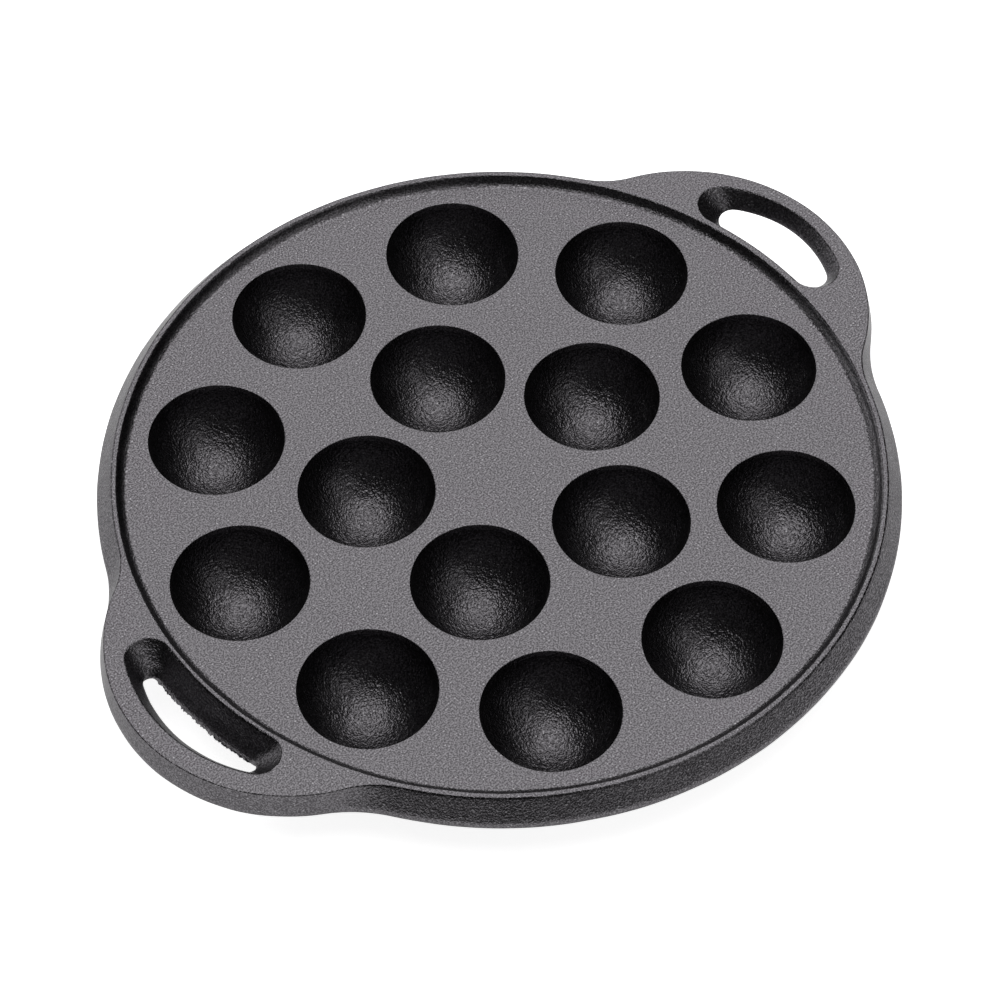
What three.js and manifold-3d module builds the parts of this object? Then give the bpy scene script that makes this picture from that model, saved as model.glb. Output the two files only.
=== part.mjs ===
// A round cast-iron pan for cooking batter balls on a stove: a flat plate with half-ball cups,
// a raised lip with a flared outer wall, and two loop handles. Millimetres, +Z up.
// The pan stands on the cups' flat feet at z = 0, and its handles lie along X.
import * as THREE from "three";
import { mergeVertices } from "three/addons/utils/BufferGeometryUtils.js";
import Module from "manifold-3d";

const wasm = await Module();
wasm.setup();

// Cups: half balls sunk in the plate
const cupRadius = 20;
const cupWall = 3.4;
const footRadius = 4.3;
const innerCups = 5;
const outerCups = 10;
const innerShellGap = 0.5;
const ringShellGap = 2.5;

// Plate
const plateThickness = 5;
const plateMargin = 5.7;
const plateSeat = 1.5;
const centreGap = 1.1;
const seamGap = 0.3;

// Lip and outer wall
const lipHeight = 3;
const lipSlope = 1.9;
const lipLand = 1.9;
const lipRound = 0.6;
const stepDrop = 1.5;
const stepRun = 0.4;
const wallFlare = 3.9;
const wallDrop = 6.7;
const baseRound = 1.2;
const covePullShare = 0.3;

// Handles
const fingerRoom = 17.6;
const gripWidth = 5.2;
const handleArc = 50;
const handleFlare = 1.9;
const handleWaist = 7.5;
const handleBlend = 12;
const holeArc = 39;
const holeEnd = 5.4;
const holeDraft = 1.3;
const lowHoleArc = 32.5;
const lowHoleEnd = 3.2;

// Fineness of the round shapes
const cupSegments = 24;
const cupRings = 6;
const ringSegments = 72;
const cornerSteps = 2;
const arcSteps = 8;
const overrun = 2;
const weld = 1e-5;

// Sizes that follow from the ones above
const shellRadius = cupRadius + cupWall;
const plateTop = Math.sqrt(shellRadius ** 2 - footRadius ** 2);
const plateUnderside = plateTop - plateThickness;
const shellAtPlate = Math.sqrt(shellRadius ** 2 - plateThickness ** 2);
const innerRing = (2 * shellAtPlate + innerShellGap) / (2 * Math.sin(Math.PI / innerCups));
const ringAngle = Math.PI / outerCups;
const ringSpan = 2 * shellAtPlate + ringShellGap;
const outerRing = innerRing * Math.cos(ringAngle)
  + Math.sqrt(ringSpan ** 2 - (innerRing * Math.sin(ringAngle)) ** 2);
const centreFlat = innerRing - shellAtPlate - centreGap;
const lipFoot = outerRing + cupRadius + plateMargin;
const plateEdge = lipFoot + plateSeat;
const lipTop = plateTop + lipHeight;
const landInner = lipFoot + lipSlope;
const landOuter = landInner + lipLand;
const stepOuter = landOuter + stepRun;
const stepFoot = lipTop - stepDrop;
const wallOuter = stepOuter + wallFlare;
const wallWide = stepFoot - wallDrop;
const rimBase = wallWide - baseRound;
const holeApex = landOuter + fingerRoom;
const handleApex = holeApex + gripWidth;

const iron = { color: 0x403e41, roughness: 0.62, metalness: 0.35 };

// A closed solid of a geometry, without its normals, seams and empty triangles
function solidOf(geometry) {
  const bare = new THREE.BufferGeometry();
  bare.setAttribute("position", geometry.getAttribute("position"));
  bare.setIndex(geometry.index);
  const merged = mergeVertices(bare, weld);
  const triVerts = [];
  const index = merged.index.array;
  for (let i = 0; i < index.length; i += 3) {
    const [a, b, c] = index.slice(i, i + 3);
    if (a !== b && b !== c && c !== a) triVerts.push(a, b, c);
  }
  const vertProperties = merged.getAttribute("position").array;
  const mesh = new wasm.Mesh({ numProp: 3, vertProperties, triVerts: new Uint32Array(triVerts) });
  return new wasm.Manifold(mesh);
}

// The geometry of a solid, flat shaded
function geometryOf(solid) {
  const mesh = solid.getMesh();
  const geometry = new THREE.BufferGeometry();
  geometry.setAttribute("position", new THREE.BufferAttribute(mesh.vertProperties, 3));
  geometry.setIndex(new THREE.BufferAttribute(mesh.triVerts, 1));
  const faceted = geometry.toNonIndexed();
  faceted.computeVertexNormals();
  return faceted;
}

function pieceOf(name, geometry) {
  const piece = new THREE.Mesh(geometry, new THREE.MeshStandardMaterial(iron));
  piece.name = name;
  return piece;
}

// A profile of radius and height turned about the upright axis
function turned(points, segments) {
  const geometry = new THREE.LatheGeometry(points, segments);
  geometry.rotateX(Math.PI / 2);
  return geometry;
}

// A point of a ball around a cup's centre, at an angle below the plate's top face
function ballPoint(radius, angle) {
  return new THREE.Vector2(radius * Math.cos(angle), plateTop - radius * Math.sin(angle));
}

// Points of a ball's section from one angle to another, both ends included
function ballPoints(radius, from, to, steps) {
  const points = [];
  for (let i = 0; i <= steps; i += 1) {
    points.push(ballPoint(radius, from + ((to - from) * i) / steps));
  }
  return points;
}

// The shell of a cup, from its flat foot up into the plate
function shellSolid() {
  const footAngle = Math.acos(footRadius / shellRadius);
  const plateAngle = Math.asin(plateThickness / shellRadius);
  const top = plateUnderside + plateThickness / 2;
  return solidOf(turned([
    new THREE.Vector2(0, 0),
    ...ballPoints(shellRadius, footAngle, plateAngle, cupRings),
    new THREE.Vector2(shellAtPlate, top),
    new THREE.Vector2(0, top),
  ], cupSegments));
}

// The half-ball hollow of a cup, straight above the plate
function hollowSolid() {
  const top = plateTop + overrun;
  return solidOf(turned([
    ...ballPoints(cupRadius, Math.PI / 2, 0, cupRings),
    new THREE.Vector2(cupRadius, top),
    new THREE.Vector2(0, top),
  ], cupSegments));
}

function cupPlaces(count, radius, start) {
  const places = [];
  for (let i = 0; i < count; i += 1) {
    const angle = start + (i * 2 * Math.PI) / count;
    places.push(new THREE.Vector2(radius * Math.cos(angle), radius * Math.sin(angle)));
  }
  return places;
}

const innerPlaces = cupPlaces(innerCups, innerRing, 0);
const outerPlaces = cupPlaces(outerCups, outerRing, ringAngle);

// A convex outline, less what lies past a line through a point, square to a direction
function trimmed(outline, point, direction) {
  const past = outline.map((corner) => corner.clone().sub(point).dot(direction));
  return outline.flatMap((corner, i) => {
    const next = (i + 1) % outline.length;
    const kept = past[i] <= 0 ? [corner] : [];
    if (past[i] * past[next] < 0) {
      kept.push(corner.clone().lerp(outline[next], past[i] / (past[i] - past[next])));
    }
    return kept;
  });
}

// The region of the plate that is nearer to one cup than to any other, outside the middle piece
function regionOutline(place) {
  const reach = plateEdge + overrun;
  const square = [[-reach, -reach], [reach, -reach], [reach, reach], [-reach, reach]];
  let outline = square.map(([x, y]) => new THREE.Vector2(x, y));
  outline = trimmed(outline, place.clone().setLength(centreFlat), place.clone().negate());
  for (const other of [...innerPlaces, ...outerPlaces]) {
    const halfway = place.clone().lerp(other, 1 / 2);
    if (other !== place) outline = trimmed(outline, halfway, other.clone().sub(place));
  }
  return outline;
}

// A tall column over a cup's region, about the cup's own centre and within the plate's edge
function regionSolid(place) {
  const tall = plateTop + overrun;
  const outline = regionOutline(place).map((corner) => corner.sub(place));
  const column = new THREE.ExtrudeGeometry(new THREE.Shape(outline), {
    depth: tall + overrun,
    bevelEnabled: false,
  });
  column.translate(0, 0, -overrun);
  const within = new THREE.CylinderGeometry(plateEdge, plateEdge, 2 * tall, ringSegments);
  within.rotateX(Math.PI / 2);
  within.translate(-place.x, -place.y, 0);
  return solidOf(column).intersect(solidOf(within));
}

// A cup with the region of the plate around it, about the cup's own centre
function cupGeometry(place) {
  const reach = plateEdge + overrun;
  const slab = new THREE.CylinderGeometry(reach, reach, plateThickness, ringSegments);
  slab.rotateX(Math.PI / 2);
  slab.translate(-place.x, -place.y, plateTop - plateThickness / 2);
  const cup = solidOf(slab).add(shellSolid()).subtract(hollowSolid());
  return geometryOf(cup.intersect(regionSolid(place)));
}

// The flat middle of the plate, with a side facing every inner cup
function centreGeometry() {
  const corner = centreFlat / Math.cos(Math.PI / innerCups);
  const middle = new THREE.CylinderGeometry(corner, corner, plateThickness, innerCups);
  middle.rotateX(Math.PI / 2);
  middle.rotateZ(Math.PI / 2 - Math.PI / innerCups);
  middle.translate(0, 0, plateTop - plateThickness / 2);
  return middle;
}

// The outer side of the rim from its base to the lip's land, pushed out by a clearance
function rimSide(clearance) {
  const side = new THREE.Path();
  const cove = stepOuter + wallFlare * covePullShare;
  side.moveTo(wallOuter - baseRound + clearance, rimBase);
  side.quadraticCurveTo(wallOuter + clearance, rimBase, wallOuter + clearance, wallWide);
  side.quadraticCurveTo(cove + clearance, (wallWide + stepFoot) / 2, stepOuter + clearance, stepFoot);
  side.lineTo(landOuter + clearance, lipTop - lipRound);
  side.quadraticCurveTo(landOuter + clearance, lipTop, landOuter - lipRound + clearance, lipTop);
  return side.getPoints(cornerSteps);
}

// The lip and the flared wall, seated on the plate's edge
function rimGeometry() {
  const top = new THREE.Path();
  top.moveTo(landInner + lipRound, lipTop);
  top.quadraticCurveTo(landInner, lipTop, landInner - lipSlope / 4, plateTop + (3 * lipHeight) / 4);
  top.quadraticCurveTo(lipFoot + lipSlope / 4, plateTop, lipFoot, plateTop);
  const bore = plateEdge + seamGap;
  const start = new THREE.Vector2(bore, rimBase);
  const ledge = new THREE.Vector2(bore, plateTop);
  return turned([start, ...rimSide(0), ...top.getPoints(cornerSteps), ledge, start], ringSegments);
}

// The space of the rim and all inside it, with the seam's clearance
function rimEnvelope() {
  const side = rimSide(seamGap);
  const below = rimBase - overrun;
  const above = lipTop + overrun;
  const foot = new THREE.Vector2(side[0].x, below);
  const head = new THREE.Vector2(side.at(-1).x + lipRound, above);
  const cap = new THREE.Vector2(head.x, lipTop - lipRound);
  const wall = side.filter((point) => point.y < cap.y);
  return solidOf(turned([
    new THREE.Vector2(0, below), foot, ...wall, cap, head, new THREE.Vector2(0, above),
  ], ringSegments));
}

// The centre of the circle at one distance from the origin and another from a point on X
function meetingPoint(fromOrigin, fromPoint, pointX) {
  const x = (fromOrigin ** 2 - fromPoint ** 2 + pointX ** 2) / (2 * pointX);
  return new THREE.Vector2(x, Math.sqrt(fromOrigin ** 2 - x ** 2));
}

// Points of an arc, both ends included
function arcPoints(centreX, centreY, radius, from, to) {
  const points = [];
  for (let i = 0; i <= arcSteps; i += 1) {
    const angle = from + ((to - from) * i) / arcSteps;
    points.push(new THREE.Vector2(centreX + radius * Math.cos(angle), centreY + radius * Math.sin(angle)));
  }
  return points;
}

// A handle's outer outline at one level: a wide arc blended into the rim at both ends
function handleOutline(rimRadius, flare) {
  const arc = handleArc + flare;
  const centre = handleApex - handleArc;
  const blend = meetingPoint(rimRadius + handleBlend, arc + handleBlend, centre);
  const rootAngle = Math.atan2(blend.y, blend.x);
  const arcEnd = Math.atan2(blend.y, blend.x - centre);
  const root = new THREE.Vector2(lipFoot * Math.cos(rootAngle), lipFoot * Math.sin(rootAngle));
  return [
    new THREE.Vector2(root.x, -root.y),
    ...arcPoints(blend.x, -blend.y, handleBlend, Math.PI - rootAngle, Math.PI - arcEnd).slice(0, -1),
    ...arcPoints(centre, 0, arc, -arcEnd, 0),
    ...arcPoints(centre, 0, arc, 0, arcEnd).slice(1),
    ...arcPoints(blend.x, blend.y, handleBlend, Math.PI + arcEnd, Math.PI + rootAngle).slice(1),
    root,
  ];
}

// A finger hole's outline at one level: an arc outside, round ends, and open into the rim
function holeOutline(rimRadius, apex, arc, end) {
  const centre = apex - arc;
  const corner = meetingPoint(rimRadius + end, arc - end, centre);
  const rimAngle = Math.atan2(corner.y, corner.x);
  const arcEnd = Math.atan2(corner.y, corner.x - centre);
  return [
    ...arcPoints(centre, 0, arc, -arcEnd, arcEnd),
    ...arcPoints(corner.x, corner.y, end, arcEnd, Math.PI + rimAngle).slice(1),
    ...arcPoints(0, 0, lipFoot, rimAngle, -rimAngle),
    ...arcPoints(corner.x, -corner.y, end, Math.PI - rimAngle, 2 * Math.PI - arcEnd).slice(0, -1),
  ];
}

// A closed solid through outlines of equal point counts, from the lowest level up
function lofted(levels) {
  const count = levels[0].outline.length;
  const positions = levels.flatMap(({ outline, z }) => outline.flatMap(({ x, y }) => [x, y, z]));
  const index = [];
  for (let level = 1; level < levels.length; level += 1) {
    for (let i = 0; i < count; i += 1) {
      const low = (level - 1) * count + i;
      const lowNext = (level - 1) * count + ((i + 1) % count);
      index.push(low, lowNext, lowNext + count, low, lowNext + count, low + count);
    }
  }
  const topStart = (levels.length - 1) * count;
  for (const [a, b, c] of THREE.ShapeUtils.triangulateShape(levels[0].outline, [])) {
    index.push(c, b, a);
  }
  for (const [a, b, c] of THREE.ShapeUtils.triangulateShape(levels.at(-1).outline, [])) {
    index.push(a + topStart, b + topStart, c + topStart);
  }
  const geometry = new THREE.BufferGeometry();
  geometry.setAttribute("position", new THREE.Float32BufferAttribute(positions, 3));
  geometry.setIndex(index);
  return geometry;
}

// A loop handle: a drafted bow with a finger hole, cut back from the rim
function handleGeometry() {
  const waist = lipTop - handleWaist;
  const bow = solidOf(lofted([
    { z: rimBase, outline: handleOutline(wallOuter, handleFlare - baseRound / 2) },
    { z: waist, outline: handleOutline(wallOuter, handleFlare) },
    { z: lipTop, outline: handleOutline(landOuter, 0) },
  ]));
  const lowHole = holeOutline(wallOuter, holeApex - holeDraft, lowHoleArc, lowHoleEnd);
  const topHole = holeOutline(landOuter, holeApex, holeArc, holeEnd);
  const hole = solidOf(lofted([
    { z: rimBase - overrun, outline: lowHole },
    { z: waist, outline: lowHole },
    { z: lipTop, outline: topHole },
    { z: lipTop + overrun, outline: topHole },
  ]));
  return geometryOf(bow.subtract(hole).subtract(rimEnvelope()));
}

const pan = new THREE.Group();
pan.add(pieceOf("plate_centre", centreGeometry()));
pan.add(pieceOf("rim", rimGeometry()));

const handle = handleGeometry();
const rightHandle = pieceOf("handle_right", handle);
const leftHandle = pieceOf("handle_left", handle);
leftHandle.rotation.z = Math.PI;
pan.add(rightHandle, leftHandle);

function addCups(label, places) {
  places.forEach((place, i) => {
    const piece = pieceOf(`${label}_${String(i + 1).padStart(2, "0")}`, cupGeometry(place));
    piece.position.set(place.x, place.y, 0);
    pan.add(piece);
  });
}
addCups("cup_inner", innerPlaces);
addCups("cup_outer", outerPlaces);

export default pan;
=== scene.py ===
"""A round cast-iron pan for batter balls: half-ball cups in a flat plate, a lip and two loop handles."""

import logging
import math
from collections.abc import Callable
from dataclasses import dataclass, field
from enum import Enum

import bmesh
import bpy
from mathutils import Matrix, Vector


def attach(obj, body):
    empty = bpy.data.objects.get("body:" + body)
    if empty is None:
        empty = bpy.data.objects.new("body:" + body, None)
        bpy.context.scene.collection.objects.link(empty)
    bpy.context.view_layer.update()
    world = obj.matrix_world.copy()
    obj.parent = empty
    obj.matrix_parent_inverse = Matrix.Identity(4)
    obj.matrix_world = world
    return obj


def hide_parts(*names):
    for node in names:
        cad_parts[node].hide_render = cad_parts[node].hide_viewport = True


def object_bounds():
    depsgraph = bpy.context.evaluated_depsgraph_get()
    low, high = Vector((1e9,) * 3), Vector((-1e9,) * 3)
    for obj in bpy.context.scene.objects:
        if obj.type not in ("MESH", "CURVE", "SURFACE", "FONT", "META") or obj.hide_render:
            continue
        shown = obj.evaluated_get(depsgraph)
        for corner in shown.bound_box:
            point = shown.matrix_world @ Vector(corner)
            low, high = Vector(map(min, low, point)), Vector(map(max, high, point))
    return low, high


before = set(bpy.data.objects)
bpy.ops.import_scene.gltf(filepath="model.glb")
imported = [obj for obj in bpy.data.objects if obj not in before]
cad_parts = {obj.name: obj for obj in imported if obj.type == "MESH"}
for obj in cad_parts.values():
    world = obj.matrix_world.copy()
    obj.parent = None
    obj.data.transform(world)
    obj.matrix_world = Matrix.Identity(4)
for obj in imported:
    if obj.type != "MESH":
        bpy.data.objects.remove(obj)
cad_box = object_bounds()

LOG = logging.getLogger("pan")
MM = 0.001
TOUCHING = 1e-7
NEAR = 2e-6

Point = tuple[float, float]
Colour = tuple[float, float, float]
Socket = bpy.types.NodeSocket


def bent(start: Point, pull: Point, end: Point, steps: int) -> list[Point]:
    """Draw a curve between two points, bowed towards a third.

    Args:
        start: where the curve starts; it is left out of the result.
        pull: the point that the curve bows towards.
        end: where the curve ends.
        steps: how many points to return.

    Returns:
        The points after the start, up to and with the end.
    """
    points = []
    for i in range(1, steps + 1):
        t = i / steps
        a, b, c = (1 - t) ** 2, 2 * t * (1 - t), t * t
        points.append((a * start[0] + b * pull[0] + c * end[0], a * start[1] + b * pull[1] + c * end[1]))
    return points


def arc(centre: Point, radius: float, start: float, end: float, steps: int) -> list[Point]:
    """Points of an arc from one angle to another, both ends included.

    Args:
        centre: the arc's centre.
        radius: the arc's radius.
        start: the first angle in radians.
        end: the last angle in radians.
        steps: how many pieces the arc has.

    Returns:
        The arc's points, one more than its pieces.
    """
    angles = [start + (end - start) * i / steps for i in range(steps + 1)]
    return [(centre[0] + radius * math.cos(a), centre[1] + radius * math.sin(a)) for a in angles]


def meeting_point(from_middle: float, from_point: float, point_x: float) -> Point:
    """The point at one distance from the pan's middle and another from a point on the handles' axis."""
    x = (from_middle**2 - from_point**2 + point_x**2) / (2 * point_x)
    return x, math.sqrt(from_middle**2 - x**2)


@dataclass(frozen=True)
class Casting:
    """Sizes that the whole casting shares, in millimetres."""

    plate_top: float = 23.0015
    plate_underside: float = 18.0015
    cup_radius: float = 20.0
    shell_radius: float = 23.4
    foot_radius: float = 4.3
    collar_radius: float = 22.95
    inner_ring: float = 39.316
    outer_ring: float = 84.056
    plate_seam: float = 107.7
    lip_foot: float = 109.4
    land_seam: float = 112.6
    land_outer: float = 113.25
    lip_top: float = 26.0
    wall_outer: float = 117.82
    wall_wide: float = 17.8
    base: float = 16.6
    handle_apex: float = 136.75
    handle_sector: float = 31.0
    cup_segments: int = 128
    ring_segments: int = 720


CASTING = Casting()


@dataclass(frozen=True)
class WallLevel:
    """One level of the outer wall, in millimetres: its height, the rim's radius and a handle's flare."""

    height: float
    rim: float
    flare: float


@dataclass(frozen=True)
class OuterWall:
    """The section of the outer wall, which the rim and the handles share.

    Below a rounded edge the wall flares out evenly to an upright band at its widest,
    and a rounded bottom edge runs under to the flat base.
    """

    edge_round: float = 0.5
    band_top: float = 19.2
    band_round: float = 0.6
    handle_flare: float = 1.4
    base_round: float = 1.2
    hold: float = 0.12
    edge_steps: int = 6
    flare_steps: int = 6
    band_steps: int = 4

    def levels(self) -> list[WallLevel]:
        """Lay the wall's levels.

        Returns:
            The levels from the top edge down to the base, a holding level first and last.
        """
        edge, top, wide = CASTING.land_outer, CASTING.lip_top, CASTING.wall_outer
        run = math.hypot(wide - edge, top - self.band_top)
        out, down = (wide - edge) / run, (top - self.band_top) / run
        start = (edge - self.edge_round, top)
        upper = (edge + self.edge_round * out, top - self.edge_round * down)
        knee = (wide - self.band_round * out, self.band_top + self.band_round * down)
        under = (wide - self.base_round, CASTING.base)
        points = [(start[0] - self.hold, top), start]
        points += bent(start, (edge, top), upper, self.edge_steps)
        for i in range(1, self.flare_steps + 1):
            points.append(tuple(a + (b - a) * i / self.flare_steps for a, b in zip(upper, knee)))
        points += bent(knee, (wide, self.band_top), (wide, self.band_top - self.band_round), self.band_steps)
        points.append((wide, CASTING.wall_wide))
        points += bent(points[-1], (wide, CASTING.base), under, self.edge_steps)
        points.append((under[0] - self.hold, CASTING.base))
        return [WallLevel(z, radius, self.flare_at(radius - edge, z)) for radius, z in points]

    def flare_at(self, out: float, height: float) -> float:
        """How far a handle's wall stands out at a level.

        Args:
            out: how far the rim's wall stands out beyond its land there.
            height: the level's height.

        Returns:
            The handle's own flare, which is less than the rim's and rounds under alike.
        """
        full = CASTING.wall_outer - CASTING.land_outer
        if out <= 0:
            return out
        if height >= CASTING.wall_wide:
            return self.handle_flare * out / full
        return self.handle_flare - (full - out)


WALL = OuterWall()


class Bench:
    """The modelling steps that every piece uses, each as it is done by hand in edit mode."""

    @staticmethod
    def clear() -> None:
        """Leave edit mode and deselect every object."""
        if bpy.context.object and bpy.context.object.mode != "OBJECT":
            bpy.ops.object.mode_set(mode="OBJECT")
        bpy.ops.object.select_all(action="DESELECT")

    @staticmethod
    def ring(name: str, count: int, radius: float, height: float) -> bpy.types.Object:
        """Start a piece with a ring of edges about the upright axis, and stay in edit mode.

        Args:
            name: the piece's name.
            count: how many points the ring has.
            radius: the ring's radius in millimetres.
            height: the ring's height in millimetres.

        Returns:
            The new object, in edit mode with the ring selected.
        """
        Bench.clear()
        bpy.ops.mesh.primitive_circle_add(vertices=count, radius=radius * MM, fill_type="NOTHING")
        piece = bpy.context.object
        piece.name = piece.data.name = name
        bpy.ops.object.mode_set(mode="EDIT")
        bpy.ops.mesh.select_mode(type="VERT")
        bpy.ops.mesh.select_all(action="SELECT")
        bpy.ops.transform.translate(value=(0, 0, height * MM))
        return piece

    @staticmethod
    def turn_profile(points: list[Point]) -> None:
        """Draw the selected ring out along a profile, by extruding, scaling and moving it.

        Args:
            points: radius and height of each ring in millimetres, the present ring's first.
        """
        for (radius, height), (next_radius, next_height) in zip(points, points[1:]):
            bpy.ops.mesh.extrude_region_move()
            share = next_radius / radius
            bpy.ops.transform.resize(value=(share, share, 1), center_override=(0, 0, 0))
            bpy.ops.transform.translate(value=(0, 0, (next_height - height) * MM))

    @staticmethod
    def place_ring(piece: bpy.types.Object, outline: list[Point], height: float) -> None:
        """Put the selected points on an outline.

        Args:
            piece: the piece in edit mode.
            outline: one place for each point, in millimetres.
            height: the outline's height in millimetres.
        """
        mesh = bmesh.from_edit_mesh(piece.data)
        order = mesh.verts.layers.int.get("order")
        for vertex in mesh.verts:
            if vertex.select:
                x, y = outline[vertex[order]]
                vertex.co = (x * MM, y * MM, height * MM)
        bmesh.update_edit_mesh(piece.data)

    @staticmethod
    def number_ring(piece: bpy.types.Object) -> None:
        """Number the selected points in their order, for place_ring."""
        mesh = bmesh.from_edit_mesh(piece.data)
        order = mesh.verts.layers.int.get("order") or mesh.verts.layers.int.new("order")
        mesh.verts.ensure_lookup_table()
        for i, vertex in enumerate(v for v in mesh.verts if v.select):
            vertex[order] = i
        bmesh.update_edit_mesh(piece.data)

    @staticmethod
    def select_edges(piece: bpy.types.Object, wanted: Callable[[bmesh.types.BMEdge], bool]) -> None:
        """Select the edges that pass a test.

        Args:
            piece: the piece in edit mode.
            wanted: a function of a bmesh edge that says whether to select it.
        """
        bpy.ops.mesh.select_mode(type="EDGE")
        bpy.ops.mesh.select_all(action="DESELECT")
        mesh = bmesh.from_edit_mesh(piece.data)
        for edge in mesh.edges:
            if wanted(edge):
                edge.select = True
        mesh.select_flush_mode()
        bmesh.update_edit_mesh(piece.data)

    @staticmethod
    def select_faces(piece: bpy.types.Object, wanted: Callable[[bmesh.types.BMFace], bool]) -> None:
        """Select the faces that pass a test.

        Args:
            piece: the piece in edit mode.
            wanted: a function of a bmesh face that says whether to select it.
        """
        bpy.ops.mesh.select_mode(type="FACE")
        bpy.ops.mesh.select_all(action="DESELECT")
        mesh = bmesh.from_edit_mesh(piece.data)
        for face in mesh.faces:
            if wanted(face):
                face.select = True
        mesh.select_flush_mode()
        bmesh.update_edit_mesh(piece.data)

    @staticmethod
    def finish(piece: bpy.types.Object, smooth_angle: float = 38.0) -> None:
        """Merge doubles, turn the faces outward, put the place in the mesh and smooth the round faces.

        Args:
            piece: the piece, in edit mode.
            smooth_angle: the largest angle in degrees between two faces that are shaded as one.
        """
        bpy.ops.mesh.select_mode(type="VERT")
        bpy.ops.mesh.select_all(action="SELECT")
        bpy.ops.mesh.remove_doubles(threshold=TOUCHING)
        bpy.ops.mesh.normals_make_consistent(inside=False)
        bpy.ops.object.mode_set(mode="OBJECT")
        bpy.ops.object.transform_apply(location=True, rotation=True, scale=True)
        bpy.ops.object.shade_smooth_by_angle(angle=math.radians(smooth_angle))
        if "order" in piece.data.attributes:
            piece.data.attributes.remove(piece.data.attributes["order"])

    @staticmethod
    def copy(piece: bpy.types.Object, name: str, shift: Point, turn: float = 0.0) -> bpy.types.Object:
        """Copy a piece with its own mesh, turned and then moved, with its place in its mesh.

        Args:
            piece: the piece to copy.
            name: the copy's name.
            shift: the move in millimetres.
            turn: the turn about the upright axis in radians.

        Returns:
            The copy.
        """
        Bench.clear()
        piece.select_set(True)
        bpy.context.view_layer.objects.active = piece
        bpy.ops.object.duplicate(linked=False)
        new = bpy.context.object
        new.name = new.data.name = name
        new.rotation_euler = (0, 0, turn)
        new.location = (shift[0] * MM, shift[1] * MM, 0)
        bpy.ops.object.transform_apply(location=True, rotation=True, scale=True)
        return new


@dataclass(frozen=True)
class CastWaviness:
    """The slight waviness of a sand casting, in millimetres."""

    depth: float = 0.18
    length: float = 14.0

    def apply(self, piece: bpy.types.Object, share: Callable[[Vector], float]) -> None:
        """Move a piece's points by a soft noise, alike where pieces meet, but never above the lip's flat top.

        Args:
            piece: the piece to make wavy.
            share: a function of a point in millimetres that says how much of the waviness it gets.
        """
        noise = bpy.data.textures.get("cast waviness") or bpy.data.textures.new("cast waviness", "CLOUDS")
        noise.cloud_type = "COLOR"
        noise.noise_scale = self.length * MM
        noise.noise_depth = 1
        group = piece.vertex_groups.new(name="wavy")
        for vertex in piece.data.vertices:
            weight = share(vertex.co / MM)
            if weight > 0:
                group.add([vertex.index], weight, "REPLACE")
        Bench.clear()
        piece.select_set(True)
        bpy.context.view_layer.objects.active = piece
        wave = piece.modifiers.new("waviness", "DISPLACE")
        wave.texture = noise
        wave.texture_coords = "LOCAL"
        wave.direction = "RGB_TO_XYZ"
        wave.mid_level = 0.5
        wave.strength = self.depth * MM
        wave.vertex_group = "wavy"
        bpy.ops.object.modifier_apply(modifier=wave.name)
        piece.vertex_groups.clear()
        for vertex in piece.data.vertices:
            vertex.co.z = min(vertex.co.z, cad_box[1][2])


WAVINESS = CastWaviness()


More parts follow.
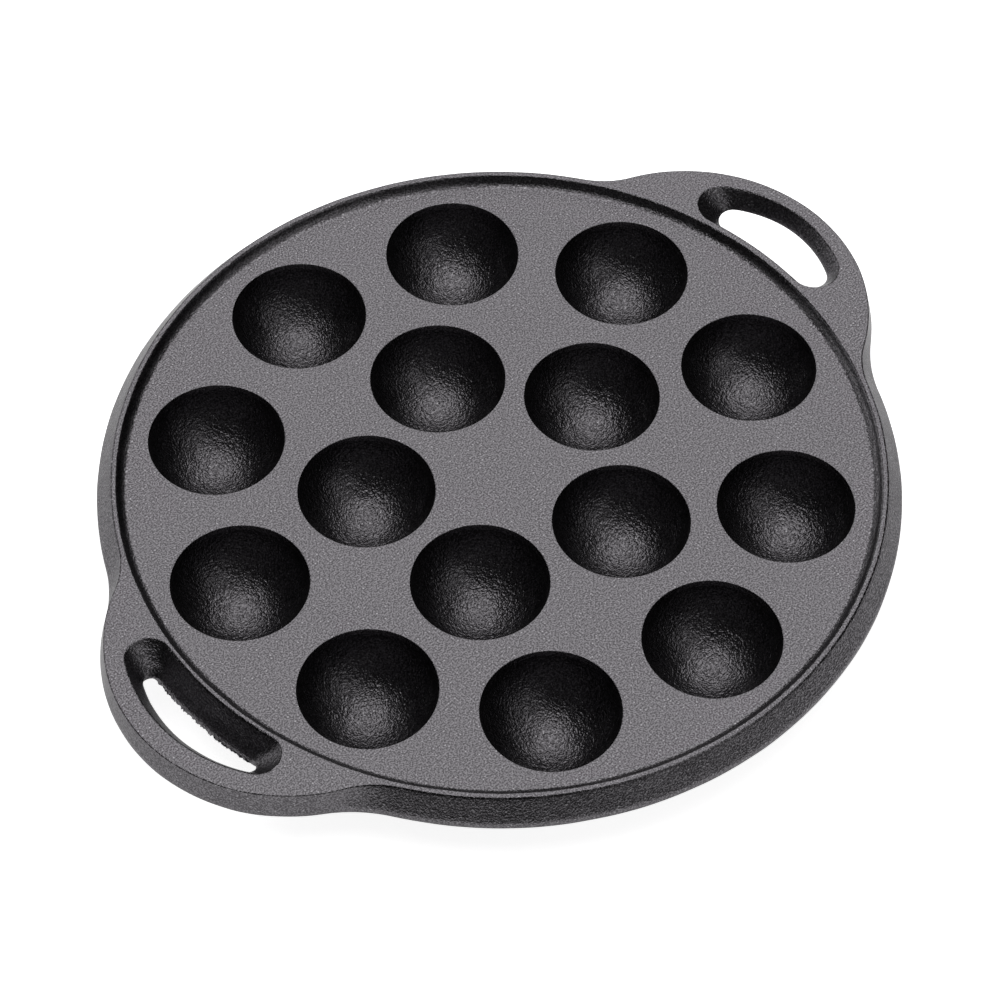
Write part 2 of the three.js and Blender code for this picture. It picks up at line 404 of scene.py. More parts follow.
class NodeBoard:
    """A short way of laying the nodes of one material."""

    def __init__(self, name: str) -> None:
        """Start a material with nothing but its output and its shader."""
        self.material = bpy.data.materials.new(name)
        self.material.use_nodes = True
        self.nodes = self.material.node_tree.nodes
        self.links = self.material.node_tree.links
        self.shader = self.nodes["Principled BSDF"]
        self.place = self.nodes.new("ShaderNodeTexCoord").outputs["Object"]

    def wire(self, source: Socket, target: Socket) -> None:
        """Link an output to an input."""
        self.links.new(source, target)

    def noise(self, length: float, detail: float = 2.0, rough: float = 0.5) -> Socket:
        """Lay a noise whose lumps are about a given length in millimetres.

        Args:
            length: the length of a lump.
            detail: how many finer octaves it has.
            rough: how strong each finer octave is.

        Returns:
            The noise's value.
        """
        node = self.nodes.new("ShaderNodeTexNoise")
        node.inputs["Scale"].default_value = 1 / (length * MM)
        node.inputs["Detail"].default_value = detail
        node.inputs["Roughness"].default_value = rough
        self.wire(self.place, node.inputs["Vector"])
        return node.outputs["Fac"]

    def math(self, kind: str, first: Socket | float, second: Socket | float) -> Socket:
        """Lay one sum of two sockets or numbers.

        Args:
            kind: the Math node's operation.
            first: a socket or number.
            second: a socket or number.

        Returns:
            The result.
        """
        node = self.nodes.new("ShaderNodeMath")
        node.operation = kind
        for slot, value in enumerate((first, second)):
            if isinstance(value, Socket):
                self.wire(value, node.inputs[slot])
            else:
                node.inputs[slot].default_value = value
        return node.outputs[0]

    def spread(self, value: Socket, low: float, high: float, to_low: float, to_high: float) -> Socket:
        """Stretch a value from one span to another, without overshoot.

        Args:
            value: the value to stretch.
            low: the lower end of its own span.
            high: the upper end of its own span.
            to_low: what the lower end becomes.
            to_high: what the upper end becomes.

        Returns:
            The stretched value.
        """
        node = self.nodes.new("ShaderNodeMapRange")
        self.wire(value, node.inputs["Value"])
        for slot, number in zip(("From Min", "From Max", "To Min", "To Max"), (low, high, to_low, to_high)):
            node.inputs[slot].default_value = number
        return node.outputs["Result"]

    def blend(self, share: Socket, first: Colour | Socket, second: Colour | Socket) -> Socket:
        """Blend two colours by a share.

        Args:
            share: how much of the second colour shows.
            first: a colour or a colour socket.
            second: a colour or a colour socket.

        Returns:
            The blended colour.
        """
        node = self.nodes.new("ShaderNodeMix")
        node.data_type = "RGBA"
        self.wire(share, node.inputs[0])
        for slot, value in ((6, first), (7, second)):
            if isinstance(value, Socket):
                self.wire(value, node.inputs[slot])
            else:
                node.inputs[slot].default_value = (*value, 1.0)
        return node.outputs[2]

    def height(self) -> Socket:
        """Lay the height above the pan's feet.

        Returns:
            The height in millimetres.
        """
        split = self.nodes.new("ShaderNodeSeparateXYZ")
        self.wire(self.place, split.inputs[0])
        return self.math("DIVIDE", split.outputs["Z"], MM)

    def radius(self) -> Socket:
        """Lay the distance from the pan's upright axis.

        Returns:
            The distance in millimetres.
        """
        flat = self.nodes.new("ShaderNodeVectorMath")
        flat.operation = "MULTIPLY"
        flat.inputs[1].default_value = (1 / MM, 1 / MM, 0.0)
        self.wire(self.place, flat.inputs[0])
        length = self.nodes.new("ShaderNodeVectorMath")
        length.operation = "LENGTH"
        self.wire(flat.outputs["Vector"], length.inputs[0])
        return length.outputs["Value"]

    def bump(self, relief: Socket, depth: float, under: Socket | None = None) -> Socket:
        """Lay a bump of a given depth in millimetres.

        Args:
            relief: the height pattern, from 0 to 1.
            depth: how deep the whole pattern is.
            under: the normal that it is laid over.

        Returns:
            The bumped normal.
        """
        node = self.nodes.new("ShaderNodeBump")
        node.inputs["Strength"].default_value = 1.0
        node.inputs["Distance"].default_value = depth * MM
        self.wire(relief, node.inputs["Height"])
        if under is not None:
            self.wire(under, node.inputs["Normal"])
        return node.outputs["Normal"]


@dataclass(frozen=True)
class CastIron:
    """Sand-cast, oil-seasoned iron: a fine sand grain, soft mottling and glints painted into the colour as
    sparse bright specks.

    Away from the flat top faces, in the cups and on the slopes and walls, the skin can be
    rougher, more pitted and more uneven, as the mould left it, and its colour can be darkened
    there as painted shade. A span holds the low and the high end of a noise that shows, and a
    fade the lengths over which that skin starts.
    """

    name: str
    dark: Colour = (0.0565, 0.0535, 0.0575)
    light: Colour = (0.145, 0.139, 0.148)
    # colour of the painted glints: bright specks in the base colour that stand in for highlights
    painted_glint_colour: Colour = (0.27, 0.265, 0.275)
    edge: float = 0.75
    metal: float = 1.0
    roughness: Point = (0.20, 0.28)
    grain: float = 0.50
    grain_depth: float = 0.13
    swell: float = 9.0
    swell_depth: float = 0.10
    hollow_grain: float = 1.0
    hollow_depth: float = 0.0
    hollow_swell: float = 0.0
    hollow_rough: float = 0.0
    painted_hollow_shade: float = 0.0
    grain_span: Point = (0.40, 0.60)
    painted_glint_span: Point = (0.75, 0.83)
    mottle_span: Point = (0.3, 0.7)
    mottle_share: float = 0.08
    cup_fade: Point = (2.0, 0.2)
    slope_fade: Point = (0.2, 0.4)
    land_fade: Point = (0.6, 0.15)

    def make(self) -> bpy.types.Material:
        """Lay the nodes.

        Returns:
            The finished material.
        """
        board = NodeBoard(self.name)
        shader = board.shader
        shader.inputs["Metallic"].default_value = self.metal
        shader.inputs["Specular Tint"].default_value = (self.edge, self.edge, self.edge, 1.0)
        fine = board.noise(self.grain, 1.0, 0.4)
        mottle = board.noise(self.swell, 3.0, 0.55)
        # painted highlight: a sparse noise mask that picks the specks painted bright as glints
        painted_glint_mask = board.spread(board.noise(self.grain, 0.0), *self.painted_glint_span, 0.0, 1.0)
        sand = board.spread(fine, *self.grain_span, 0.0, 1 - self.mottle_share)
        tone = board.math("ADD", sand, board.spread(mottle, *self.mottle_span, 0.0, self.mottle_share))
        rough = board.spread(mottle, *self.mottle_span, *self.roughness)
        normal = board.bump(board.noise(self.swell * 1.4, 2.0), self.swell_depth)
        if self.hollow_depth:
            inside = self.off_the_tops(board)
            # painted shade: the colour is darkened off the flat tops; only the cups' iron sets this, so the
            # cups' hollows are painted darker
            tone = board.math("SUBTRACT", tone, board.math("MULTIPLY", inside, self.painted_hollow_shade))
            rough = board.math("ADD", rough, board.math("MULTIPLY", inside, self.hollow_rough))
            swell = board.math("MULTIPLY", board.noise(self.swell * 0.8, 1.0), inside)
            normal = board.bump(swell, self.hollow_swell, normal)
            pits = board.math("MULTIPLY", board.noise(self.hollow_grain, 1.0, 0.5), inside)
            normal = board.bump(pits, self.hollow_depth, normal)
        skin = board.blend(tone, self.dark, self.light)
        # painted highlight: the glint specks are blended into the base colour
        board.wire(board.blend(painted_glint_mask, skin, self.painted_glint_colour), shader.inputs["Base Color"])
        board.wire(rough, shader.inputs["Roughness"])
        normal = board.bump(fine, self.grain_depth, normal)
        board.wire(normal, shader.inputs["Normal"])
        return board.material

    def off_the_tops(self, board: NodeBoard) -> Socket:
        """Find where the skin lies off the plate's and the lip's flat tops.

        Args:
            board: the material's nodes.

        Returns:
            One in the cups, on the lip's slope and on the walls, and nought on both tops.
        """
        height, plate, foot, lip = board.height(), CASTING.plate_top, CASTING.lip_foot, CASTING.lip_top
        in_cups = board.spread(height, plate - self.cup_fade[0], plate - self.cup_fade[1], 1.0, 0.0)
        near, far = foot - self.slope_fade[0], foot + self.slope_fade[1]
        past_plate = board.spread(board.radius(), near, far, 0.0, 1.0)
        under_land = board.spread(height, lip - self.land_fade[0], lip - self.land_fade[1], 1.0, 0.0)
        return board.math("MAXIMUM", in_cups, board.math("MULTIPLY", past_plate, under_land))


def dress(piece: bpy.types.Object, iron: bpy.types.Material, *nodes: str) -> None:
    """Give a piece its iron, its place in the frame and the solids that it stands for.

    Args:
        piece: the finished piece.
        iron: its material.
        nodes: the names of the solids that it replaces.
    """
    piece.data.materials.clear()
    piece.data.materials.append(iron)
    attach(piece, "root")
    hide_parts(*nodes)
    faces = len(piece.data.polygons)
    LOG.info("%s: %d faces, stands for %s", piece.name, faces, ", ".join(nodes))


class CupCircle(Enum):
    """The two circles of cups: label, radius, number of cups and first angle in degrees."""

    INNER = ("inner", CASTING.inner_ring, 5, 0.0)
    OUTER = ("outer", CASTING.outer_ring, 10, 18.0)

    def places(self) -> list[Point]:
        """Find the places of the circle's cups.

        Returns:
            The cups' centres in millimetres.
        """
        _, radius, count, start = self.value
        angles = [math.radians(start + 360 * i / count) for i in range(count)]
        return [(radius * math.cos(a), radius * math.sin(a)) for a in angles]


@dataclass
class Cups:
    """The fifteen half-ball cups, each with a narrow collar of the plate around its mouth."""

    # the cups' iron paints shade into its hollows by darkening the colour there
    iron: CastIron = CastIron(
        "seasoned iron with cups", hollow_depth=0.25, hollow_swell=0.35, hollow_rough=0.08, painted_hollow_shade=0.1
    )
    mouth_round: float = 0.35
    rings: int = 36
    mouth_steps: int = 6
    hold: float = 0.2
    foot_hold: Point = (0.5, 0.1)
    foot_still: float = 0.5
    collar_still: float = 1.0
    fade: float = 3.0
    pieces: list[bpy.types.Object] = field(default_factory=list)

    def profile(self) -> list[Point]:
        """The section from the collar's seam under the shell up to the hollow's lowest point.

        Returns:
            Radius and height of each ring, from the foot outside round to the bottom of the hollow.
        """
        top, under = CASTING.plate_top, CASTING.plate_underside
        shell, foot = CASTING.shell_radius, CASTING.foot_radius
        low, high = math.acos(foot / shell), math.asin((top - under) / shell)
        points = [(foot - hold, 0.0) for hold in self.foot_hold]
        for i in range(self.rings // 2 + 1):
            angle = low + (high - low) * i / (self.rings // 2)
            points.append((shell * math.cos(angle), top - shell * math.sin(angle)))
        points += [(CASTING.collar_radius, under), (CASTING.collar_radius, top)]
        cup = CASTING.cup_radius
        edge = cup + self.mouth_round
        points += [(edge + self.hold, top), (edge, top)]
        points += bent((edge, top), (cup, top), (cup, top - self.mouth_round), self.mouth_steps)
        start = math.asin(self.mouth_round / cup)
        for i in range(1, self.rings):
            angle = start + (math.pi / 2 - start) * i / self.rings
            points.append((cup * math.cos(angle), top - cup * math.sin(angle)))
        return points

    def shape(self) -> bpy.types.Object:
        """Model one cup about the pan's middle.

        Returns:
            The cup, closed and smoothed.
        """
        points = self.profile()
        cup = Bench.ring("cup pattern", CASTING.cup_segments, *points[0])
        bpy.ops.mesh.edge_face_add()
        Bench.select_edges(cup, lambda edge: True)
        Bench.turn_profile(points)
        bottom = CASTING.plate_top - CASTING.cup_radius
        bpy.ops.mesh.extrude_region_move()
        bpy.ops.transform.translate(value=(0, 0, (bottom - points[-1][1]) * MM))
        bpy.ops.mesh.merge(type="CENTER")
        Bench.finish(cup)
        return cup

    def build(self) -> None:
        """Model a cup once and copy it to every place."""
        iron = self.iron.make()
        pattern = self.shape()
        for circle in CupCircle:
            label = circle.value[0]
            for i, (x, y) in enumerate(circle.places(), start=1):
                cup = Bench.copy(pattern, f"{label}_cup_{i}", (x, y))
                WAVINESS.apply(cup, lambda p: self.wavy_share(math.dist((p.x, p.y), (x, y)), p.z))
                dress(cup, iron, f"cup_{label}_{i:02d}")
                self.pieces.append(cup)
        bpy.data.objects.remove(pattern)

    def wavy_share(self, radius: float, height: float) -> float:
        """Say how wavy a cup is at a point: not on its collar or its foot.

        Args:
            radius: the point's distance from the cup's axis in millimetres.
            height: the point's height in millimetres.

        Returns:
            The share of the whole waviness.
        """
        reach = CASTING.cup_radius + self.collar_still
        if radius > reach or height < self.foot_still:
            return 0.0
        if height <= CASTING.plate_underside - self.collar_still:
            return 1.0
        return min(1.0, (reach - radius) / self.fade)


@dataclass
class Plate:
    """The flat plate between the cups, up to the foot of the lip."""

    iron: CastIron = CastIron("seasoned iron")
    smooth_angle: float = 20.0
    piece: bpy.types.Object | None = None

    def build(self) -> None:
        """Model the plate as a disc with a round hole for each cup."""
        Bench.clear()
        depth = (CASTING.plate_top - CASTING.plate_underside) * MM
        middle = (CASTING.plate_top + CASTING.plate_underside) / 2 * MM
        bpy.ops.mesh.primitive_cylinder_add(
            vertices=CASTING.ring_segments,
            radius=CASTING.plate_seam * MM,
            depth=depth,
            location=(0, 0, middle),
        )
        self.piece = bpy.context.object
        self.piece.name = self.piece.data.name = "plate"
        bpy.ops.object.transform_apply(location=True, rotation=True, scale=True)
        cutter = self.cutters(depth * 3, middle)
        Bench.clear()
        self.piece.select_set(True)
        bpy.context.view_layer.objects.active = self.piece
        cut = self.piece.modifiers.new("cup holes", "BOOLEAN")
        cut.operation = "DIFFERENCE"
        cut.solver = "EXACT"
        cut.object = cutter
        bpy.ops.object.modifier_apply(modifier=cut.name)
        bpy.data.objects.remove(cutter)
        bpy.ops.object.mode_set(mode="EDIT")
        Bench.finish(self.piece, self.smooth_angle)
        dress(self.piece, self.iron.make(), "plate_centre")

    @staticmethod
    def cutters(depth: float, middle: float) -> bpy.types.Object:
        """Make one object of a cylinder at every cup's place.

        Args:
            depth: the cylinders' length in metres.
            middle: the height of their middle in metres.

        Returns:
            The joined cylinders.
        """
        Bench.clear()
        bpy.ops.mesh.primitive_cylinder_add(
            vertices=CASTING.cup_segments,
            radius=CASTING.collar_radius * MM,
            depth=depth,
            location=(0, 0, middle),
        )
        pattern = bpy.context.object
        bpy.ops.object.transform_apply(location=True, rotation=True, scale=True)
        places = [place for circle in CupCircle for place in circle.places()]
        copies = [Bench.copy(pattern, f"cup_hole_{i}", place) for i, place in enumerate(places)]
        bpy.data.objects.remove(pattern)
        Bench.clear()
        for copy in copies:
            copy.select_set(True)
        bpy.context.view_layer.objects.active = copies[0]
        bpy.ops.object.join()
        return copies[0]


@dataclass
class Rim:
    """The raised lip and the flared outer wall, cut back to the middle of the land at both handles."""

    iron: CastIron = CastIron("seasoned iron with walls", hollow_depth=0.06, hollow_rough=0.08)
    fillet_hold: float = 0.15
    fillet_start: float = 108.0
    fillet_pull: float = 110.1
    fillet_end: Point = (111.1, 1.95)
    fillet_steps: int = 14
    crest_pull: float = 111.6
    crest_end: float = 112.2
    crest_steps: int = 9
    bore_gap: float = 1.6
    bore_edge: Point = (0.4, 0.5)
    bore_draft: Point = (0.15, 0.3)
    bore_fillet: float = 1.4
    bore_steps: int = 4
    still: float = 108.6
    fade: float = 2.5
    piece: bpy.types.Object | None = None

    def profile(self) -> list[Point]:
        """The closed section of the rim, from the plate's seam over the lip and back underneath.

        Returns:
            Radius and height of each ring.
        """
        top, lip = CASTING.plate_top, CASTING.lip_top
        start = (self.fillet_start, top)
        high = (self.fillet_end[0], top + self.fillet_end[1])
        points = [(CASTING.plate_seam, top), (start[0] - self.fillet_hold, top), start]
        points += bent(start, (self.fillet_pull, top), high, self.fillet_steps)
        points += bent(high, (self.crest_pull, lip), (self.crest_end, lip), self.crest_steps)
        points.append((CASTING.land_seam, lip))
        points += [(level.rim, level.height) for level in WALL.levels()]
        under, base, bore = CASTING.plate_underside, CASTING.base, CASTING.lip_foot + self.bore_gap
        points += [(CASTING.land_seam, base), (bore + self.bore_edge[0], base)]
        inside = (bore - self.bore_draft[0], base + self.bore_edge[1])
        points += bent(points[-1], (bore, base), inside, self.bore_steps)
        corner = (bore - self.bore_draft[1], under)
        points += bent(inside, corner, (bore - self.bore_fillet, under), self.bore_steps)
        points.append((CASTING.plate_seam, under))
        return points

    def build(self, iron: bpy.types.Material) -> None:
        """Turn the section about the pan's middle and cut it back for the handles.

        Args:
            iron: the rim's material.
        """
        points = self.profile()
        self.piece = Bench.ring("cast_rim", CASTING.ring_segments, *points[0])
        Bench.turn_profile(points)
        Bench.select_edges(self.piece, lambda edge: edge.is_boundary)
        bpy.ops.mesh.bridge_edge_loops()
        for side in Side:
            self.cut_back(side)
        Bench.finish(self.piece)
        WAVINESS.apply(self.piece, lambda p: self.wavy_share(math.hypot(p.x, p.y)))
        dress(self.piece, iron, "rim")

    def wavy_share(self, radius: float) -> float:
        """How wavy the rim is at a radius: flat where it meets the plate."""
        return min(1.0, max(0.0, (radius - self.still) / self.fade))

    def cut_back(self, side: "Side") -> None:
        """Take the wall away where a handle carries it, and close the cut.

        Args:
            side: the handle's side.
        """
        seam = CASTING.land_seam * MM
        sector = math.radians(CASTING.handle_sector)
        axis = Vector((math.cos(side.turn), math.sin(side.turn)))

        def across(place: Vector) -> float:
            """How far a place lies to the left of the handle's axis, in metres."""
            return axis.x * place.y - axis.y * place.x

        def off_axis(place: Vector) -> float:
            """The angle between a place and the handle's axis, in radians."""
            return abs(math.atan2(across(place), axis.dot(place.xy)))

        def is_outside(place: Vector) -> bool:
            """Whether a place lies on or beyond the seam in the land."""
            return math.hypot(place.x, place.y) > seam - NEAR

        Bench.select_faces(
            self.piece,
            lambda face: all(is_outside(v.co) for v in face.verts)
            and off_axis(face.calc_center_median()) < sector,
        )
        bpy.ops.mesh.delete(type="FACE")
        Bench.select_edges(
            self.piece,
            lambda edge: edge.is_boundary
            and all(abs(math.hypot(v.co.x, v.co.y) - seam) < NEAR for v in edge.verts),
        )
        bpy.ops.mesh.bridge_edge_loops()
        for end in (-1, 1):
            Bench.select_edges(
                self.piece, lambda edge: edge.is_boundary and all(across(v.co) * end > 0 for v in edge.verts)
            )
            bpy.ops.mesh.edge_face_add()


@dataclass(frozen=True)
class FingerHole:
    """The shape of one finger hole, in millimetres and degrees.

    Each pair holds the value at the top edge and the value at the parting line, between
    which the sand core was tapered. The land is how much wider than elsewhere the rim's land
    is beside the hole, and the flash is how far the rim's wall grew into the hole lower down.
    """

    apex: Point
    grip: Point
    end: Point
    turn: Point
    land: float
    flash: float = 0.0

    @staticmethod
    def between(pair: Point, share: float) -> float:
        """The value at a share of the way from the top edge to the parting line."""
        return pair[0] + (pair[1] - pair[0]) * share


class Side(Enum):
    """The two handles: name, the solid's name, its turn in degrees and its finger hole.

    Both handles were cast slightly off their common axis, and their cores slightly askew.
    """

    RIGHT = (
        "right_handle",
        "handle_right",
        0.5,
        FingerHole(
            apex=(132.6, 129.4), grip=(43.0, 34.0), end=(7.6, 4.65), turn=(0.6, -0.25), land=0.35
        ),
    )
    LEFT = (
        "left_handle",
        "handle_left",
        179.5,
        FingerHole(
            apex=(130.45, 127.3), grip=(50.0, 43.0), end=(6.6, 3.6), turn=(-0.4, 0.2), land=-0.3, flash=1.5
        ),
    )

    @property
    def turn(self) -> float:
        """The side's turn in radians."""
        return math.radians(self.value[2])

    @property
    def opening(self) -> FingerHole:
        """The side's finger hole."""
        return self.value[3]


@dataclass
class LoopHandles:
    """The two loop handles, each with its share of the rim's land and wall, and the finger hole."""

    arc_radius: float = 53.6
    root_blend: Point = (26.0, 44.0)
    root_steps: int = 4
    blend_steps: int = 24
    grip_steps: int = 120
    hole_round: float = 0.55
    hole_steps: int = 90
    end_steps: int = 20
    land_gap: float = 0.06
    parting_depth: float = 5.0
    undercut: float = 4.5
    seam_step: float = 0.5
    flash_start: float = 21.6
    burr: float = 0.35
    burr_reach: float = 19.0
    burr_seed: int = 7
    pieces: list[bpy.types.Object] = field(default_factory=list)

    def outline(self, level: WallLevel) -> list[Point]:
        """The handle's outer outline at a level, closed along the seam in the rim's land.

        Args:
            level: the wall's level.

        Returns:
            The points once round, counted alike at every level.
        """
        grip = self.arc_radius + level.flare
        centre = CASTING.handle_apex - self.arc_radius
        whole = CASTING.wall_outer - CASTING.land_outer
        fullness = min(1.0, max(0.0, (level.rim - CASTING.land_outer) / whole))
        root_blend = self.root_blend[0] + (self.root_blend[1] - self.root_blend[0]) * fullness
        blend = meeting_point(level.rim + root_blend, grip + root_blend, centre)
        root = math.atan2(blend[1], blend[0])
        turn = math.atan2(blend[1], blend[0] - centre)
        end = math.radians(CASTING.handle_sector)
        seam_steps = round(2 * CASTING.handle_sector / self.seam_step)
        below = (blend[0], -blend[1])
        points = arc((0, 0), level.rim, -end, -root, self.root_steps)[:-1]
        points += arc(below, root_blend, math.pi - root, math.pi - turn, self.blend_steps)[:-1]
        points += arc((centre, 0), grip, -turn, turn, self.grip_steps)[:-1]
        points += arc(blend, root_blend, math.pi + turn, math.pi + root, self.blend_steps)[:-1]
        points += arc((0, 0), level.rim, root, end, self.root_steps)
        points += arc((0, 0), CASTING.land_seam, end, -end, seam_steps)
        return points

    def hole(self, level: WallLevel, side: Side) -> list[Point]:
        """The finger hole's outline at a level: the rim's wall inside, the grip's wall outside.

        Args:
            level: the wall's level.
            side: the handle's side.

        Returns:
            The points once round, counted alike at every level.
        """
        depth = (CASTING.lip_top - level.height) / self.parting_depth
        share = min(1.0, max(0.0, depth))
        edge = self.edge_opening(level)
        recess = edge + self.undercut * max(0.0, depth - 1)
        opening = side.opening
        apex = opening.between(opening.apex, share) + recess
        grip = opening.between(opening.grip, share) + recess
        round_end = opening.between(opening.end, share) + edge
        rim = max(CASTING.land_seam + self.land_gap, level.rim + opening.land * (1 - share))
        if level.height >= CASTING.wall_wide:
            fall = self.flash_start - CASTING.wall_wide
            rim += opening.flash * max(0.0, (self.flash_start - level.height) / fall)
        centre = apex - grip
        corner = meeting_point(rim + round_end, grip - round_end, centre)
        inner = math.atan2(corner[1], corner[0])
        outer = math.atan2(corner[1], corner[0] - centre)
        below = (corner[0], -corner[1])
        points = arc((centre, 0), grip, -outer, outer, self.hole_steps)[:-1]
        points += arc(corner, round_end, outer, math.pi + inner, self.end_steps)[:-1]
        points += arc((0, 0), rim, inner, -inner, self.hole_steps)[:-1]
        points += arc(below, round_end, math.pi - inner, 2 * math.pi - outer, self.end_steps)[:-1]
        turn = math.radians(opening.between(opening.turn, share))
        c, s = math.cos(turn), math.sin(turn)
        return [(x * c - y * s, x * s + y * c) for x, y in points]

    def edge_opening(self, level: WallLevel) -> float:
        """Say how much the hole's rounded edges widen it at a level.

        Args:
            level: the wall's level.

        Returns:
            The widening in millimetres.
        """
        from_top = CASTING.lip_top - level.height
        from_base = level.height - CASTING.base
        near = min(from_top, from_base)
        if near >= self.hole_round:
            return 0.0
        sink = 1 - near / self.hole_round
        return self.hole_round * (1 - math.sqrt(max(0.0, 1 - sink * sink)))

    def shape(self, side: Side) -> bpy.types.Object:
        """Model a handle along the first axis, with its side's own hole.

        Args:
            side: the handle's side.

        Returns:
            The handle, closed and smoothed.
        """
        levels = WALL.levels()
        piece = Bench.ring(f"{side.value[0]}_pattern", len(self.outline(levels[0])), 1.0, levels[0].height)
        self.draw_down(piece, [(self.outline(level), level.height) for level in levels])
        bpy.ops.mesh.select_all(action="DESELECT")
        hole_points = len(self.hole(levels[0], side))
        bpy.ops.mesh.primitive_circle_add(vertices=hole_points, radius=MM, fill_type="NOTHING")
        self.draw_down(piece, [(self.hole(level, side), level.height) for level in levels])
        if side.opening.flash:
            self.roughen_edge(piece, CASTING.wall_outer + side.opening.flash)
        for level in (levels[0], levels[-1]):
            height = level.height * MM
            Bench.select_edges(
                piece,
                lambda edge: edge.is_boundary and all(abs(v.co.z - height) < TOUCHING for v in edge.verts),
            )
            bpy.ops.mesh.fill(use_beauty=True)
        Bench.finish(piece)
        return piece

    def roughen_edge(self, piece: bpy.types.Object, lip: float) -> None:
        """Leave a ragged burr along the widest line of the rim's wall inside the finger hole.

        Args:
            piece: the handle in edit mode.
            lip: the radius of that line in millimetres.
        """
        Bench.select_edges(
            piece,
            lambda edge: all(
                abs(v.co.z - CASTING.wall_wide * MM) < NEAR
                and abs(v.co.xy.length - lip * MM) < NEAR
                and abs(v.co.y) < self.burr_reach * MM
                for v in edge.verts
            ),
        )
        bpy.ops.transform.vertex_random(offset=self.burr * MM, uniform=1.0, normal=0.0, seed=self.burr_seed)

    @staticmethod
    def draw_down(piece: bpy.types.Object, rings: list[tuple[list[Point], float]]) -> None:
        """Put the selected ring on the first outline and draw it down through the others.

        Args:
            piece: the piece in edit mode, with a fresh ring selected.
            rings: the outlines and their heights in millimetres.
        """
        Bench.number_ring(piece)
        Bench.place_ring(piece, *rings[0])
        for outline, height in rings[1:]:
            bpy.ops.mesh.extrude_region_move()
            Bench.place_ring(piece, outline, height)

    def build(self, iron: bpy.types.Material) -> None:
        """Model each handle, turn it to its side and dress it.

        Args:
            iron: the handles' material, which is the rim's too.
        """
        for side in Side:
            pattern = self.shape(side)
            piece = Bench.copy(pattern, side.value[0], (0, 0), side.turn)
            bpy.data.objects.remove(pattern)
            WAVINESS.apply(piece, lambda p: 1.0)
            dress(piece, iron, side.value[1])
            self.pieces.append(piece)


@dataclass(frozen=True)
class SoftBox:
    """An area lamp aimed at the pan: its bearing in degrees, its distance and size in metres."""

    name: str
    azimuth: float
    elevation: float
    distance: float
    width: float
    height: float
    brightness: float

    def hang(self) -> bpy.types.Object:
        """Hang the lamp.

        Returns:
            The lamp's object.
        """
        lamp = bpy.data.lights.new(self.name, "AREA")
        lamp.shape = "RECTANGLE"
        lamp.size = self.width
        lamp.size_y = self.height
        lamp.energy = self.brightness * math.pi * self.width * self.height
        stand = bpy.data.objects.new(self.name, lamp)
        bpy.context.scene.collection.objects.link(stand)
        outward = direction(self.azimuth, self.elevation)
        stand.location = outward * self.distance
        stand.rotation_euler = outward.to_track_quat("Z", "Y").to_euler()
        stand.visible_camera = False
        return stand


def direction(azimuth: float, elevation: float) -> Vector:
    """The unit vector from the pan towards an azimuth and elevation in degrees."""
    a, e = math.radians(azimuth), math.radians(elevation)
    return Vector((math.sin(a) * math.cos(e), -math.cos(a) * math.cos(e), math.sin(e)))


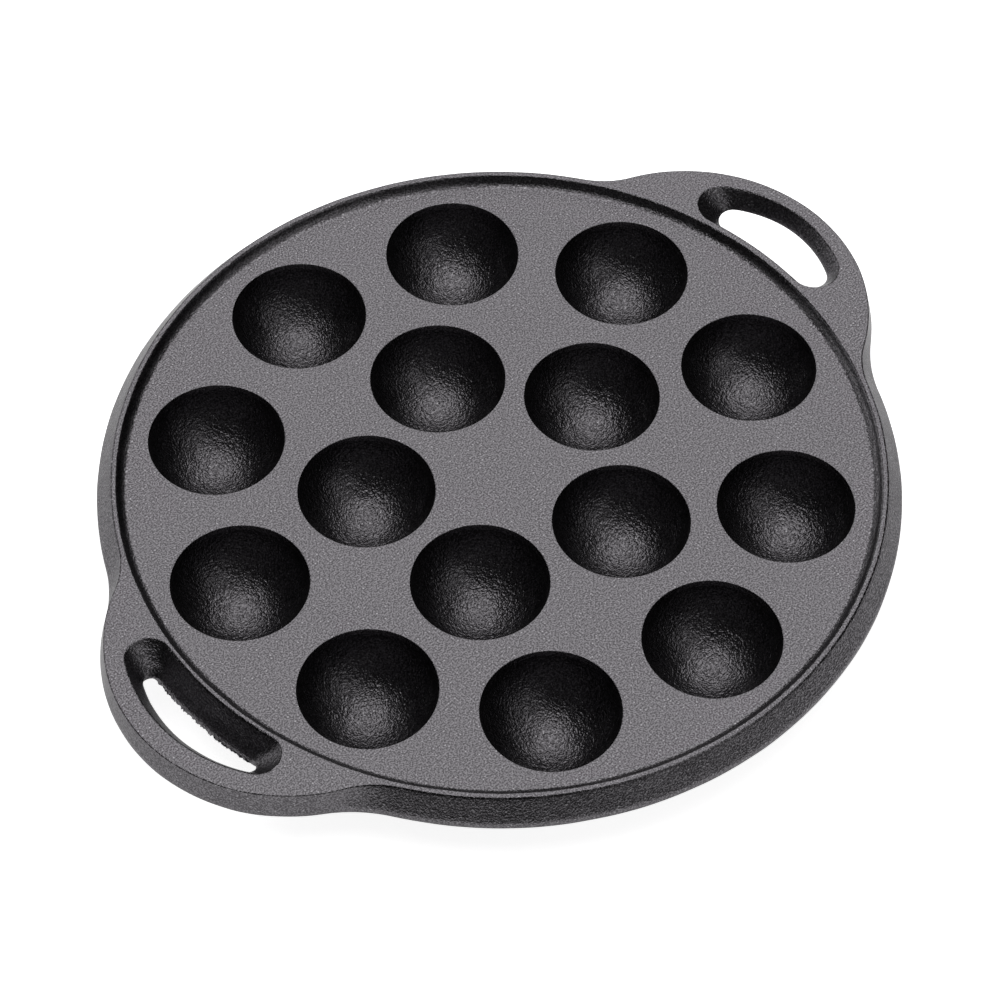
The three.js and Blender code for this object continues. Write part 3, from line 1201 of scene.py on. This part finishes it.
@dataclass(frozen=True)
class Studio:
    """A plain pale floor, a dim even surround and soft lamps round the pan."""

    lamps: tuple[SoftBox, ...] = (
        SoftBox(
            "top box",
            azimuth=134.0, elevation=64.0, distance=1.7, width=2.0, height=3.6, brightness=1.9,
        ),
        SoftBox(
            "left box",
            azimuth=195.0, elevation=13.0, distance=1.8, width=1.4, height=0.8, brightness=1.45,
        ),
        SoftBox(
            "front strip",
            azimuth=-46.0, elevation=12.0, distance=1.9, width=5.0, height=0.75, brightness=0.1,
        ),
        SoftBox(
            "right fill",
            azimuth=8.0, elevation=37.0, distance=1.8, width=1.1, height=0.85, brightness=0.9,
        ),
    )
    surround: float = 0.02
    floor_size: float = 60.0
    floor_shade: float = 0.85
    floor_glow: float = 0.86
    mirrored_glow: float = 0.7

    def build(self) -> None:
        """Lay the floor, hang the lamps and set the surround."""
        Bench.clear()
        bpy.ops.mesh.primitive_plane_add(size=self.floor_size, location=(0, 0, 0))
        floor = bpy.context.object
        floor.name = "floor"
        floor.data.materials.append(self.floor_finish())
        for lamp in self.lamps:
            lamp.hang()
        world = bpy.data.worlds.new("surround")
        world.use_nodes = True
        back = world.node_tree.nodes["Background"]
        back.inputs["Color"].default_value = (1, 1, 1, 1)
        back.inputs["Strength"].default_value = self.surround
        bpy.context.scene.world = world

    def floor_finish(self) -> bpy.types.Material:
        """A matt pale floor that the camera and reflections see as white, with the pan's shadow kept.

        Returns:
            The floor's material.
        """
        material = bpy.data.materials.new("pale floor")
        material.use_nodes = True
        nodes, links = material.node_tree.nodes, material.node_tree.links
        nodes.clear()
        rays = nodes.new("ShaderNodeLightPath")
        mirrored = nodes.new("ShaderNodeMath")
        mirrored.operation = "MAXIMUM"
        links.new(rays.outputs["Is Glossy Ray"], mirrored.inputs[0])
        links.new(rays.outputs["Is Transmission Ray"], mirrored.inputs[1])
        dimmed = nodes.new("ShaderNodeMath")
        dimmed.operation = "MULTIPLY"
        dimmed.inputs[1].default_value = self.mirrored_glow
        links.new(mirrored.outputs[0], dimmed.inputs[0])
        glow = nodes.new("ShaderNodeMath")
        glow.operation = "MULTIPLY_ADD"
        glow.inputs[1].default_value = self.floor_glow
        links.new(rays.outputs["Is Camera Ray"], glow.inputs[0])
        links.new(dimmed.outputs[0], glow.inputs[2])
        light = nodes.new("ShaderNodeEmission")
        links.new(glow.outputs[0], light.inputs["Strength"])
        matt = nodes.new("ShaderNodeBsdfDiffuse")
        matt.inputs["Color"].default_value = (self.floor_shade,) * 3 + (1.0,)
        both = nodes.new("ShaderNodeAddShader")
        links.new(light.outputs[0], both.inputs[0])
        links.new(matt.outputs[0], both.inputs[1])
        out = nodes.new("ShaderNodeOutputMaterial")
        links.new(both.outputs[0], out.inputs["Surface"])
        return material


@dataclass(frozen=True)
class Viewpoint:
    """The photograph's camera, found from the places of the cups' mouths."""

    azimuth: float = -46.1
    elevation: float = 53.972
    roll: float = 0.2756
    distance: float = 1132.486
    target: tuple[float, float, float] = (-7.137, -7.062, 23.087)
    lens: float = 140.257
    sensor: float = 36.0
    clip: Point = (0.05, 100.0)

    def build(self) -> None:
        """Set up the camera."""
        lens = bpy.data.cameras.new("camera")
        lens.sensor_width = self.sensor
        lens.lens = self.lens
        camera = bpy.data.objects.new("camera", lens)
        bpy.context.scene.collection.objects.link(camera)
        back = direction(self.azimuth, self.elevation)
        right = Vector((0, 0, 1)).cross(back).normalized()
        up = back.cross(right)
        c, s = math.cos(math.radians(self.roll)), math.sin(math.radians(self.roll))
        turned_right, turned_up = right * c + up * s, up * c - right * s
        axes = Matrix((turned_right, turned_up, back)).transposed()
        camera.rotation_euler = axes.to_euler()
        camera.location = Vector(self.target) * MM + back * self.distance * MM
        lens.clip_start, lens.clip_end = self.clip
        bpy.context.scene.camera = camera


def main() -> None:
    """Build the pan, the studio and the camera, and use the Standard view."""
    logging.basicConfig(level=logging.INFO, format="%(name)s: %(message)s")
    Viewpoint().build()
    Plate().build()
    Cups().build()
    rim = Rim()
    iron = rim.iron.make()
    rim.build(iron)
    LoopHandles().build(iron)
    Studio().build()
    view = bpy.context.scene.view_settings
    view.view_transform = "Standard"


if __name__ == "__main__":
    main()
